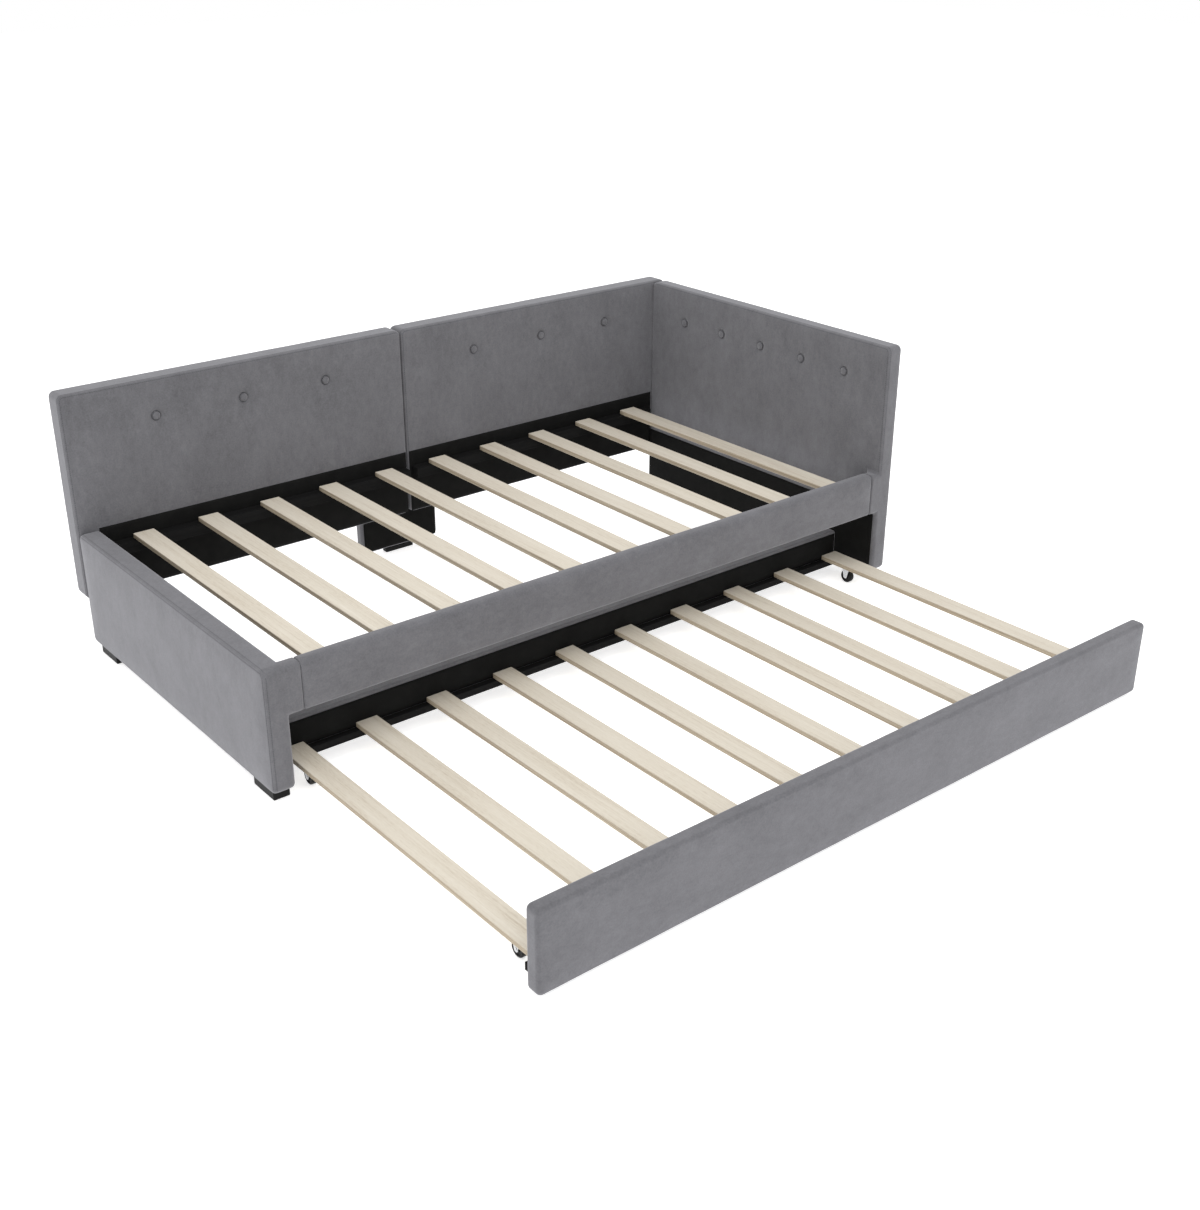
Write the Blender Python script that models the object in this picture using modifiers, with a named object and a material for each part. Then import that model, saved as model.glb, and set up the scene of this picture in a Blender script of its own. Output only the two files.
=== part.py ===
"""Upholstered twin daybed in an L shape, with a low slatted trundle that rolls out from under it.

X runs along the bed from the footboard (-X) to the headboard (+X). The back panels stand at +Y and the
trundle rolls out towards -Y. The bed stands on the floor at Z = 0, with the trundle drawn out, and the
origin is on the floor below the middle of everything.
"""

import math

import bmesh
import bpy

# ---- The frame: overall sizes, in metres
LENGTH = 2.070  # outer face of the footboard to outer face of the headboard
WELL_DEPTH = 0.995  # back panels to the inside of the front rail, for a 990 mm mattress
BACK_HEIGHT = 0.725  # floor to the top of the back panels and the headboard
RAIL_TOP = 0.345  # floor to the top of the footboard and the front rail
RAIL_BOTTOM = 0.220  # floor to the underside of the front rail

BACK_THICKNESS = 0.069
END_THICKNESS = 0.053  # headboard and footboard
RAIL_THICKNESS = 0.040
FOOT_STUB_LENGTH = 0.038  # how far the footboard returns along the front before the rail starts
HEAD_STUB_LENGTH = 0.029  # the same at the headboard
BACK_BOTTOM = 0.1485  # underside of the back panels
PANEL_GAP = 0.002  # between the two back panels
FABRIC_EDGE = 0.010  # rounding of the padded edges
FABRIC_CORNER = 0.018  # rounding of the boards' corners, seen face on
SEAT = 0.0003  # gap kept where two pieces touch

# ---- Feet and centre leg
FOOT_HEIGHT = 0.030
FOOT_LENGTH = 0.098
FOOT_WIDTH = 0.043
FOOT_INSET = 0.026  # from the ends of the end boards
FOOT_CHAMFER = 0.002
LEG_WIDTH = 0.278
LEG_THICKNESS = 0.036
LEG_CLEARANCE = 0.0165  # floor to the underside of the centre leg
LEG_OVERLAP = 0.250  # how far the leg reaches up behind the back panels
GLIDE_WIDTH = 0.100
GLIDE_DEPTH = 0.022

# ---- Slats and the ledges that carry them
SLAT_COUNT = 10
SLAT_WIDTH = 0.060
SLAT_THICKNESS = 0.014
SLAT_EDGE = 0.0012
BED_SLAT_TOP = 0.315
BED_SLAT_SPAN = 1.789  # outer edge of the first slat to outer edge of the last
BED_SLAT_END_GAP = 0.014  # from a slat's end to the board it points at
BED_LEDGE_DEPTH = 0.032
BED_LEDGE_HEIGHT = 0.032
LEDGE_END_GAP = 0.026  # from a ledge's end to the end boards
LEDGE_EDGE = 0.001

# ---- Black cloth tacked over the boards' lower inner faces
CLOTH_THICKNESS = 0.0008
CLOTH_MARGIN = 0.011  # kept to the boards' rounded edges
BACK_CLOTH_TOP = 0.348
END_CLOTH_TOP = 0.2165

# ---- Buttons
BUTTON_RADIUS = 0.0140
BUTTON_HEIGHT = 0.0080
BACK_BUTTONS = 3  # on each back panel
BACK_BUTTON_PITCH = 0.260
BACK_BUTTON_DROP = 0.1015  # from the panel's top
END_BUTTONS = 5
END_BUTTON_PITCH = 0.1757
END_BUTTON_DROP = 0.1055
END_BUTTON_FIRST = 0.1620  # from the back panels' front face

# ---- The trundle
TRUNDLE_TRAVEL = 0.922  # from drawn out to stowed, where its front is flush with the end boards
TRUNDLE_SIDE_GAP = 0.007  # from its front board's ends to the end boards
TRUNDLE_WELL_DEPTH = 1.010  # between its two boards
TRUNDLE_BOARD_THICKNESS = 0.040  # of the front board
TRUNDLE_FRONT_TOP = 0.203
TRUNDLE_FRONT_BOTTOM = 0.010
TRUNDLE_REAR_THICKNESS = 0.046
TRUNDLE_REAR_TOP = 0.134
TRUNDLE_REAR_BOTTOM = 0.024
TRUNDLE_REAR_INSET = 0.022  # how much shorter the rear board is, at each end
TRUNDLE_SLAT_TOP = 0.066
TRUNDLE_SLAT_END_GAP = 0.003
TRUNDLE_LEDGE_DEPTH = 0.020
TRUNDLE_LEDGE_HEIGHT = 0.0195
TRUNDLE_LEDGE_INSET = 0.009  # how much shorter the front ledge is than the front board, at each end

# ---- Casters, screwed under the trundle's first and last slats
WHEEL_RADIUS = 0.020
WHEEL_WIDTH = 0.016
WHEEL_EDGE = 0.003
HUB_RADIUS = 0.0065
HUB_STAND = 0.0006  # how far the hub stands out from the tyre's side
WEB_RECESS = 0.0020
WEB_OUTER = 0.0145
AXLE_RADIUS = 0.0030
AXLE_CLEARANCE = 0.0003
RIVET_RADIUS = 0.0046
RIVET_HEIGHT = 0.0014
CHEEK_THICKNESS = 0.0016
CHEEK_CLEARANCE = 0.0004  # between the hub and a cheek
CHEEK_TOP_WIDTH = 0.028
CHEEK_TIP_RADIUS = 0.0065
PLATE_LENGTH = 0.046
PLATE_WIDTH = 0.038
PLATE_THICKNESS = 0.002
CASTER_FRONT_INSET = 0.094  # from the trundle's front board to the front wheels' axles
CASTER_REAR_INSET = 0.086  # from its rear board to the rear wheels' axles

# ---- Places that follow from the sizes
FRAME_DEPTH = WELL_DEPTH + RAIL_THICKNESS
OPEN_DEPTH = LEG_THICKNESS + SEAT + BACK_THICKNESS + FRAME_DEPTH + TRUNDLE_TRAVEL
BACK_Y = OPEN_DEPTH / 2 - LEG_THICKNESS - SEAT - BACK_THICKNESS  # front face of the back panels
FRONT_Y = BACK_Y - FRAME_DEPTH  # front faces of the end boards and the rail
WELL_FRONT_Y = BACK_Y - WELL_DEPTH
HALF_LENGTH = LENGTH / 2
WELL_X = HALF_LENGTH - END_THICKNESS  # inner faces of the end boards
TRUNDLE_Y = FRONT_Y - TRUNDLE_TRAVEL  # front face of the trundle
TRUNDLE_X = WELL_X - TRUNDLE_SIDE_GAP
TRUNDLE_INNER_Y = TRUNDLE_Y + TRUNDLE_BOARD_THICKNESS
TRUNDLE_REAR_Y = TRUNDLE_INNER_Y + TRUNDLE_WELL_DEPTH
TRUNDLE_REAR_X = TRUNDLE_X - TRUNDLE_REAR_INSET


def new_collection(name):
    collection = bpy.data.collections.new(name)
    bpy.context.scene.collection.children.link(collection)
    return collection


def new_material(name, colour, roughness, metallic=0.0):
    """A Principled BSDF material."""
    made = bpy.data.materials.new(name)
    made.use_nodes = True
    shader = made.node_tree.nodes["Principled BSDF"]
    shader.inputs["Base Color"].default_value = (*colour, 1.0)
    shader.inputs["Roughness"].default_value = roughness
    shader.inputs["Metallic"].default_value = metallic
    return made


def add_object(name, mesh, material, place, parent=None):
    """An object of the bed at a world place, under the empty that carries it, if any."""
    mesh.materials.clear()
    mesh.materials.append(material)
    made = bpy.data.objects.new(name, mesh)
    parts.objects.link(made)
    made.parent = parent
    offset = parent.location if parent else (0.0, 0.0, 0.0)
    made.location = [world - start for world, start in zip(place, offset)]
    return made


def add_cutter(name, mesh, place):
    """A helper for a Boolean, left out of the model."""
    made = bpy.data.objects.new(name, mesh)
    cutters.objects.link(made)
    made.location = place
    made.hide_render = True
    made.display_type = "WIRE"
    return made


def box_mesh(name, size, corner=0.0, face_axis=None):
    """A box about its own middle, with the four corners seen along face_axis rounded."""
    mesh = bpy.data.meshes.new(name)
    shape = bmesh.new()
    bmesh.ops.create_cube(shape, size=1.0)
    bmesh.ops.scale(shape, vec=size, verts=shape.verts)
    if corner:
        along = [
            edge
            for edge in shape.edges
            if abs((edge.verts[0].co - edge.verts[1].co)[face_axis]) > size[face_axis] / 2
        ]
        bmesh.ops.bevel(
            shape, geom=along, offset=corner, segments=4, profile=0.5, affect="EDGES"
        )
    shape.to_mesh(mesh)
    shape.free()
    return mesh


def middle_and_size(low, high):
    middle = [(a + b) / 2 for a, b in zip(low, high)]
    size = [b - a for a, b in zip(low, high)]
    return middle, size


def soften(piece, width, segments):
    """Round a piece's sharp edges."""
    bevel = piece.modifiers.new("Rounded edges", "BEVEL")
    bevel.width = width
    bevel.segments = segments
    bevel.limit_method = "ANGLE"
    bevel.angle_limit = math.radians(60)
    return bevel


def add_board(name, low, high, face_axis, material, parent=None, corner=FABRIC_CORNER):
    """A padded board between two corner points, thin along face_axis."""
    middle, size = middle_and_size(low, high)
    made = add_object(name, box_mesh(name, size, corner, face_axis), material, middle, parent)
    soften(made, FABRIC_EDGE, 3)
    return made


def add_bar(name, low, high, edge, material, parent=None):
    """A plain wooden or plastic bar with its edges broken."""
    middle, size = middle_and_size(low, high)
    made = add_object(name, box_mesh(name, size), material, middle, parent)
    if edge:
        soften(made, edge, 1)
    return made


def union(piece, helper):
    joined = piece.modifiers.new("Join " + helper.name, "BOOLEAN")
    joined.operation = "UNION"
    joined.object = helper


def turned_mesh(name, profile, steps, closed):
    """A profile in X and Z, turned about Z. The mesh has its Screw applied, so that copies can share it."""
    outline = bpy.data.meshes.new(name)
    count = len(profile)
    edges = [(i, i + 1) for i in range(count - 1)]
    if closed:
        edges.append((count - 1, 0))
    outline.from_pydata([(x, 0.0, z) for x, z in profile], edges, [])
    blank = add_cutter(name + "_blank", outline, (0.0, 0.0, 0.0))
    screw = blank.modifiers.new("Turn", "SCREW")
    screw.axis = "Z"
    screw.angle = math.tau
    screw.steps = steps
    screw.render_steps = steps
    screw.use_merge_vertices = True
    screw.merge_threshold = 0.00001
    return applied_mesh(blank)


def applied_mesh(blank):
    """The mesh of a helper with its modifiers applied. The helper is removed."""
    bpy.context.view_layer.update()
    graph = bpy.context.evaluated_depsgraph_get()
    mesh = bpy.data.meshes.new_from_object(blank.evaluated_get(graph))
    bpy.data.objects.remove(blank)
    return mesh


def smooth(mesh):
    mesh.shade_smooth()
    mesh.set_sharp_from_angle(angle=math.radians(35))


# ---- The frame


def add_back_panels():
    """Two padded panels side by side, each with black cloth over its lower inner face."""
    for side, name in ((-1, "left"), (1, "right")):
        inner = side * PANEL_GAP / 2
        outer = side * HALF_LENGTH
        add_board(
            "back_panel_" + name,
            (min(inner, outer), BACK_Y, BACK_BOTTOM),
            (max(inner, outer), BACK_Y + BACK_THICKNESS, BACK_HEIGHT),
            1,
            velvet,
        )
        cloth_inner = inner + side * CLOTH_MARGIN
        cloth_outer = side * (WELL_X - SEAT - CLOTH_THICKNESS - SEAT)
        add_bar(
            "dust_cloth_back_" + name,
            (
                min(cloth_inner, cloth_outer),
                BACK_Y - SEAT - CLOTH_THICKNESS,
                BACK_BOTTOM + CLOTH_MARGIN,
            ),
            (max(cloth_inner, cloth_outer), BACK_Y - SEAT, BACK_CLOTH_TOP),
            0.0,
            dust_cloth,
        )


def add_end_board(name, side, top):
    """A padded end board, with the short return at its front that the rail butts against."""
    outer = side * HALF_LENGTH
    inner = side * WELL_X
    board = add_board(
        name,
        (min(inner, outer), FRONT_Y, FOOT_HEIGHT),
        (max(inner, outer), BACK_Y - SEAT, top),
        0,
        velvet,
    )
    root_x = side * (WELL_X + END_THICKNESS / 2)
    tip_x = side * (WELL_X - (FOOT_STUB_LENGTH if side < 0 else HEAD_STUB_LENGTH))
    middle, size = middle_and_size(
        (min(root_x, tip_x), FRONT_Y, RAIL_BOTTOM),
        (max(root_x, tip_x), WELL_FRONT_Y, RAIL_TOP),
    )
    stub = add_cutter(name + "_return", box_mesh(name + "_return", size), middle)
    soften(stub, FABRIC_EDGE / 2, 2)
    union(board, stub)


def add_headboard_cloth():
    inner = WELL_X - SEAT
    add_bar(
        "dust_cloth_headboard",
        (inner - CLOTH_THICKNESS, FRONT_Y + CLOTH_MARGIN, FOOT_HEIGHT + CLOTH_MARGIN),
        (inner, BACK_Y - SEAT - CLOTH_THICKNESS - SEAT, END_CLOTH_TOP),
        0.0,
        dust_cloth,
    )


def add_front_rail():
    add_board(
        "front_rail",
        (FOOT_STUB_LENGTH + SEAT - WELL_X, FRONT_Y, RAIL_BOTTOM),
        (WELL_X - HEAD_STUB_LENGTH - SEAT, WELL_FRONT_Y, RAIL_TOP),
        1,
        velvet,
        corner=0.0,
    )


def add_feet():
    """A block under each end of both end boards."""
    middle_x = HALF_LENGTH - END_THICKNESS / 2
    front = FRONT_Y + FOOT_INSET
    rear = BACK_Y - FOOT_INSET - FOOT_LENGTH
    for side, board in ((-1, "footboard"), (1, "headboard")):
        for start, end_name in ((front, "front"), (rear, "rear")):
            low_x = side * middle_x - FOOT_WIDTH / 2
            add_bar(
                f"foot_{board}_{end_name}",
                (low_x, start, 0.0),
                (low_x + FOOT_WIDTH, start + FOOT_LENGTH, FOOT_HEIGHT - SEAT),
                FOOT_CHAMFER,
                plastic,
            )


def add_centre_leg():
    """A padded leg behind the joint of the two back panels, on a hidden glide."""
    front = BACK_Y + BACK_THICKNESS + SEAT
    add_board(
        "centre_leg",
        (-LEG_WIDTH / 2, front, LEG_CLEARANCE),
        (LEG_WIDTH / 2, front + LEG_THICKNESS, BACK_BOTTOM + LEG_OVERLAP),
        1,
        velvet,
    )
    glide_front = front + (LEG_THICKNESS - GLIDE_DEPTH) / 2
    add_bar(
        "foot_centre_leg",
        (-GLIDE_WIDTH / 2, glide_front, 0.0),
        (GLIDE_WIDTH / 2, glide_front + GLIDE_DEPTH, LEG_CLEARANCE - SEAT),
        FOOT_CHAMFER,
        plastic,
    )


def add_slats(name, span, front, rear, top, parent=None):
    pitch = (span - SLAT_WIDTH) / (SLAT_COUNT - 1)
    for number in range(SLAT_COUNT):
        left = -span / 2 + number * pitch
        add_bar(
            f"{name}_{number + 1:02d}",
            (left, front, top - SLAT_THICKNESS),
            (left + SLAT_WIDTH, rear, top),
            SLAT_EDGE,
            poplar,
            parent,
        )


def add_bed_slats():
    """The ledges on the back panels and on the front rail, and the slats laid across them."""
    ledge_top = BED_SLAT_TOP - SLAT_THICKNESS - SEAT
    ledge_bottom = ledge_top - BED_LEDGE_HEIGHT
    rear = BACK_Y - SEAT - CLOTH_THICKNESS - SEAT
    ledge_end = WELL_X - LEDGE_END_GAP
    for side, name in ((-1, "left"), (1, "right")):
        inner = side * (PANEL_GAP / 2 + CLOTH_MARGIN)
        outer = side * ledge_end
        add_bar(
            "slat_ledge_back_" + name,
            (min(inner, outer), rear - BED_LEDGE_DEPTH, ledge_bottom),
            (max(inner, outer), rear, ledge_top),
            LEDGE_EDGE,
            black_wood,
        )
    front = WELL_FRONT_Y + SEAT
    add_bar(
        "slat_ledge_front",
        (max(-ledge_end, FOOT_STUB_LENGTH + SEAT - WELL_X), front, ledge_bottom),
        (min(ledge_end, WELL_X - HEAD_STUB_LENGTH - SEAT), front + BED_LEDGE_DEPTH, ledge_top),
        LEDGE_EDGE,
        black_wood,
    )
    add_slats(
        "bed_slat",
        BED_SLAT_SPAN,
        WELL_FRONT_Y + BED_SLAT_END_GAP,
        BACK_Y - BED_SLAT_END_GAP,
        BED_SLAT_TOP,
    )


# ---- Buttons


def button_mesh():
    """A domed, cloth-covered button, its flat back at Z = 0."""
    rings = 5
    rim = BUTTON_HEIGHT * 0.3
    dome = [
        (
            BUTTON_RADIUS * math.sin(math.radians(90 * i / rings)),
            rim + (BUTTON_HEIGHT - rim) * math.cos(math.radians(90 * i / rings)),
        )
        for i in range(rings + 1)
    ]
    profile = dome + [(BUTTON_RADIUS * 0.85, 0.0), (0.0, 0.0)]
    mesh = turned_mesh("button", profile, 20, closed=False)
    smooth(mesh)
    return mesh


def add_buttons():
    shared = button_mesh()
    back_z = BACK_HEIGHT - BACK_BUTTON_DROP
    for side, name in ((-1, "left"), (1, "right")):
        for number in range(1, BACK_BUTTONS + 1):
            button = add_object(
                f"button_back_{name}_{number}",
                shared,
                velvet,
                (side * number * BACK_BUTTON_PITCH, BACK_Y - SEAT, back_z),
            )
            button.rotation_euler.x = math.radians(90)
    for number in range(END_BUTTONS):
        button = add_object(
            f"button_headboard_{number + 1}",
            shared,
            velvet,
            (
                WELL_X - SEAT,
                BACK_Y - END_BUTTON_FIRST - number * END_BUTTON_PITCH,
                BACK_HEIGHT - END_BUTTON_DROP,
            ),
        )
        button.rotation_euler.y = math.radians(-90)


# ---- The trundle


def add_trundle_boards(parent):
    add_board(
        "trundle_front_board",
        (-TRUNDLE_X, TRUNDLE_Y, TRUNDLE_FRONT_BOTTOM),
        (TRUNDLE_X, TRUNDLE_INNER_Y, TRUNDLE_FRONT_TOP),
        1,
        velvet,
        parent,
    )
    add_board(
        "trundle_rear_board",
        (-TRUNDLE_REAR_X, TRUNDLE_REAR_Y, TRUNDLE_REAR_BOTTOM),
        (TRUNDLE_REAR_X, TRUNDLE_REAR_Y + TRUNDLE_REAR_THICKNESS, TRUNDLE_REAR_TOP),
        1,
        velvet,
        parent,
    )


def add_trundle_slats(parent):
    ledge_top = TRUNDLE_SLAT_TOP - SLAT_THICKNESS - SEAT
    ledge_bottom = ledge_top - TRUNDLE_LEDGE_HEIGHT
    front = TRUNDLE_INNER_Y + SEAT
    rear = TRUNDLE_REAR_Y - SEAT
    front_end = TRUNDLE_X - TRUNDLE_LEDGE_INSET
    for name, start, end in (
        ("front", front, front_end),
        ("rear", rear - TRUNDLE_LEDGE_DEPTH, TRUNDLE_REAR_X),
    ):
        add_bar(
            "trundle_ledge_" + name,
            (-end, start, ledge_bottom),
            (end, start + TRUNDLE_LEDGE_DEPTH, ledge_top),
            LEDGE_EDGE,
            black_wood,
            parent,
        )
    add_slats(
        "trundle_slat",
        2 * TRUNDLE_REAR_X,
        TRUNDLE_INNER_Y + TRUNDLE_SLAT_END_GAP,
        TRUNDLE_REAR_Y - TRUNDLE_SLAT_END_GAP,
        TRUNDLE_SLAT_TOP,
        parent,
    )


def wheel_mesh():
    """A solid wheel about Z: a rounded tread, a recessed web and a bored hub."""
    half = WHEEL_WIDTH / 2
    bore = AXLE_RADIUS + AXLE_CLEARANCE
    slope = WEB_RECESS / 2
    arc = [
        (
            WHEEL_RADIUS - WHEEL_EDGE + WHEEL_EDGE * math.sin(math.radians(angle)),
            half - WHEEL_EDGE + WHEEL_EDGE * math.cos(math.radians(angle)),
        )
        for angle in (0, 45, 90)
    ]
    side = [
        (bore, half + HUB_STAND),
        (HUB_RADIUS, half + HUB_STAND),
        (HUB_RADIUS + slope, half - WEB_RECESS),
        (WEB_OUTER - slope, half - WEB_RECESS),
        (WEB_OUTER, half),
    ] + arc
    profile = side + [(x, -z) for x, z in reversed(side)]
    mesh = turned_mesh("caster_wheel", profile, 28, closed=True)
    smooth(mesh)
    return mesh


def cheek_mesh():
    """One side of the fork: a plate that tapers down to a round tip about the axle at the origin."""
    top = TRUNDLE_SLAT_TOP - SLAT_THICKNESS - SEAT - WHEEL_RADIUS - PLATE_THICKNESS / 2
    half = CHEEK_TOP_WIDTH / 2
    tip = [
        (
            CHEEK_TIP_RADIUS * math.sin(math.radians(angle)),
            -CHEEK_TIP_RADIUS * math.cos(math.radians(angle)),
        )
        for angle in range(-75, 76, 25)
    ]
    outline = bpy.data.curves.new("cheek", "CURVE")
    outline.dimensions = "2D"
    outline.fill_mode = "BOTH"
    outline.extrude = CHEEK_THICKNESS / 2
    spline = outline.splines.new("POLY")
    points = tip + [(half, top), (-half, top)]
    spline.points.add(len(points) - 1)
    for point, (y, z) in zip(spline.points, points):
        point.co = (y, z, 0.0, 1.0)
    spline.use_cyclic_u = True
    blank = bpy.data.objects.new("cheek_blank", outline)
    cutters.objects.link(blank)
    mesh = applied_mesh(blank)
    shape = bmesh.new()
    shape.from_mesh(mesh)
    bmesh.ops.remove_doubles(shape, verts=shape.verts, dist=0.00001)
    bmesh.ops.recalc_face_normals(shape, faces=shape.faces)
    shape.to_mesh(mesh)
    shape.free()
    return mesh


def rod_mesh(name, radius, length):
    """A round rod along Z, about its own middle."""
    mesh = bpy.data.meshes.new(name)
    shape = bmesh.new()
    bmesh.ops.create_cone(
        shape, cap_ends=True, segments=24, radius1=radius, radius2=radius, depth=length
    )
    shape.to_mesh(mesh)
    shape.free()
    return mesh


def bracket_mesh():
    """Plate, two cheeks and the axle riveted through them, about the middle of the axle along X."""
    plate_top = TRUNDLE_SLAT_TOP - SLAT_THICKNESS - SEAT - WHEEL_RADIUS
    blank = add_cutter(
        "bracket_blank",
        box_mesh("bracket_plate", (PLATE_WIDTH, PLATE_LENGTH, PLATE_THICKNESS)),
        (0.0, 0.0, 0.0),
    )
    for vertex in blank.data.vertices:
        vertex.co.z += plate_top - PLATE_THICKNESS / 2
    inner = WHEEL_WIDTH / 2 + HUB_STAND + CHEEK_CLEARANCE
    outer = inner + CHEEK_THICKNESS
    helpers = []
    for side in (-1, 1):
        cheek = add_cutter("cheek", cheek_mesh(), (side * (inner + outer) / 2, 0.0, 0.0))
        cheek.rotation_euler = (math.radians(90), 0.0, math.radians(90))
        helpers.append(cheek)
    rod_length = 2 * outer
    for name, radius, length, middle in (
        ("axle", AXLE_RADIUS, rod_length, 0.0),
        ("rivet_left", RIVET_RADIUS, 2 * RIVET_HEIGHT, -outer),
        ("rivet_right", RIVET_RADIUS, 2 * RIVET_HEIGHT, outer),
    ):
        shift = -math.copysign(CHEEK_THICKNESS / 4, middle) if middle else 0.0
        rod = add_cutter(name, rod_mesh(name, radius, length), (middle + shift, 0.0, 0.0))
        rod.rotation_euler.y = math.radians(90)
        helpers.append(rod)
    for helper in helpers:
        union(blank, helper)
    mesh = applied_mesh(blank)
    for helper in helpers:
        bpy.data.objects.remove(helper)
    smooth(mesh)
    return mesh


def add_casters(parent):
    """A fixed caster near each corner, rolling in Y, under the middle of the outer slats."""
    bracket = bracket_mesh()
    wheel = wheel_mesh()
    middle_x = TRUNDLE_REAR_X - SLAT_WIDTH / 2
    for side, side_name in ((-1, "left"), (1, "right")):
        for y, end_name in (
            (TRUNDLE_INNER_Y + CASTER_FRONT_INSET, "front"),
            (TRUNDLE_REAR_Y - CASTER_REAR_INSET, "rear"),
        ):
            place = (side * middle_x, y, WHEEL_RADIUS)
            name = f"{end_name}_{side_name}"
            add_object("caster_bracket_" + name, bracket, steel, place, parent)
            turned = add_object("caster_wheel_" + name, wheel, rubber, place, parent)
            turned.rotation_euler.y = math.radians(90)


for leftover in list(bpy.data.objects):
    bpy.data.objects.remove(leftover)

parts = new_collection("trundle_bed")
cutters = new_collection("cutters")

velvet = new_material("grey_velvet", (0.165, 0.165, 0.178), 0.85)
dust_cloth = new_material("black_dust_cloth", (0.010, 0.010, 0.011), 0.95)
poplar = new_material("slat_wood", (0.76, 0.67, 0.53), 0.6)
black_wood = new_material("black_ledge_wood", (0.012, 0.012, 0.013), 0.6)
plastic = new_material("black_foot_plastic", (0.012, 0.012, 0.013), 0.5)
steel = new_material("caster_steel", (0.55, 0.55, 0.57), 0.35, 1.0)
rubber = new_material("caster_tread", (0.010, 0.010, 0.011), 0.5)

add_back_panels()
add_end_board("headboard", 1, BACK_HEIGHT)
add_end_board("footboard", -1, RAIL_TOP)
add_headboard_cloth()
add_front_rail()
add_feet()
add_centre_leg()
add_bed_slats()
add_buttons()

# Everything that rolls out hangs from one empty, on the floor at the trundle's front.
trundle = bpy.data.objects.new("trundle", None)
parts.objects.link(trundle)
trundle.location = (0.0, TRUNDLE_Y, 0.0)
add_trundle_boards(trundle)
add_trundle_slats(trundle)
add_casters(trundle)
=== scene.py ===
import math

import bmesh
import bpy
import numpy as np
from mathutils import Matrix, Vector, noise


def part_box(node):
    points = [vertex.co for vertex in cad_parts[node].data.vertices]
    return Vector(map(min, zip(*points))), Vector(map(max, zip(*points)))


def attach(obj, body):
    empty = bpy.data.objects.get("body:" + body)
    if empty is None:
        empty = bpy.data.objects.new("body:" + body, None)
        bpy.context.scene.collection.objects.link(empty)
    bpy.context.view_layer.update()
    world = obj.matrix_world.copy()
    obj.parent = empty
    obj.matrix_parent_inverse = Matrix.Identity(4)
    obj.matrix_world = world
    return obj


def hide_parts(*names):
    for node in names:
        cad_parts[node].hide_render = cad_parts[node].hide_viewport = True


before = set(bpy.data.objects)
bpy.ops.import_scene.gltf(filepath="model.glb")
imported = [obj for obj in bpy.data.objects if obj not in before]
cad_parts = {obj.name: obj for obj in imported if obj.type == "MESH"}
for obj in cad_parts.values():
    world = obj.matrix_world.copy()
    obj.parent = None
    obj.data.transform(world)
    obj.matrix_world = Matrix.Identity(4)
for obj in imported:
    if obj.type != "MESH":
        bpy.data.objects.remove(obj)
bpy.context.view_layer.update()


# ---- Studio
# A pale floor and a white room, with one large soft lamp above the open side of the bed and a
# weaker one by the footboard.

SEAT_GAP = 0.0003  # between a piece and the one that it lies against
BACK_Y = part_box("dust_cloth_back_left")[1].y + SEAT_GAP  # front face of the back panels
FLOOR_SIZE = 40.0
FLOOR_GAP = 0.0004
FLOOR_GREY = 0.88
FLOOR_GLOW = 0.62  # keeps the floor white under the bed
ROOM_STRENGTH = 1.0
SENSOR_WIDTH = 36.0
LENS_LENGTH = 46.2
CAMERA_PLACE = (-2.3586, BACK_Y - 3.8380, 1.9277)
CAMERA_TURNS = (64.849, -0.083, -39.067)  # degrees


def new_material(name):
    """A Principled material, with its node tree and its shader."""
    made = bpy.data.materials.new(name)
    made.use_nodes = True
    return made, made.node_tree, made.node_tree.nodes["Principled BSDF"]


def deselect():
    bpy.ops.object.select_all(action="DESELECT")


def add_floor():
    deselect()
    bpy.ops.mesh.primitive_plane_add(size=FLOOR_SIZE, location=(0.0, 0.0, -FLOOR_GAP))
    floor = bpy.context.object
    floor.name = "studio_floor"
    made, tree, shader = new_material("studio_floor")
    shader.inputs["Base Color"].default_value = (FLOOR_GREY, FLOOR_GREY, FLOOR_GREY, 1.0)
    shader.inputs["Roughness"].default_value = 0.9
    shader.inputs["Specular IOR Level"].default_value = 0.0
    shader.inputs["Emission Color"].default_value = (1.0, 1.0, 1.0, 1.0)
    shader.inputs["Emission Strength"].default_value = FLOOR_GLOW
    floor.data.materials.append(made)


def add_lamp(name, place, aim, size, power):
    lamp = bpy.data.lights.new(name, "AREA")
    lamp.shape = "RECTANGLE"
    lamp.size, lamp.size_y = size
    lamp.energy = power
    holder = bpy.data.objects.new(name, lamp)
    bpy.context.scene.collection.objects.link(holder)
    holder.location = place
    holder.rotation_euler = (Vector(aim) - Vector(place)).to_track_quat("-Z", "Y").to_euler()


def add_room():
    world = bpy.data.worlds.new("studio_room")
    world.use_nodes = True
    room = world.node_tree.nodes["Background"]
    room.inputs["Color"].default_value = (1.0, 1.0, 1.0, 1.0)
    room.inputs["Strength"].default_value = ROOM_STRENGTH
    bpy.context.scene.world = world


def add_camera():
    lens = bpy.data.cameras.new("camera")
    lens.sensor_fit = "HORIZONTAL"
    lens.sensor_width = SENSOR_WIDTH
    lens.lens = LENS_LENGTH
    camera = bpy.data.objects.new("camera", lens)
    bpy.context.scene.collection.objects.link(camera)
    camera.location = CAMERA_PLACE
    camera.rotation_euler = [math.radians(turn) for turn in CAMERA_TURNS]
    bpy.context.scene.camera = camera


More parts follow.
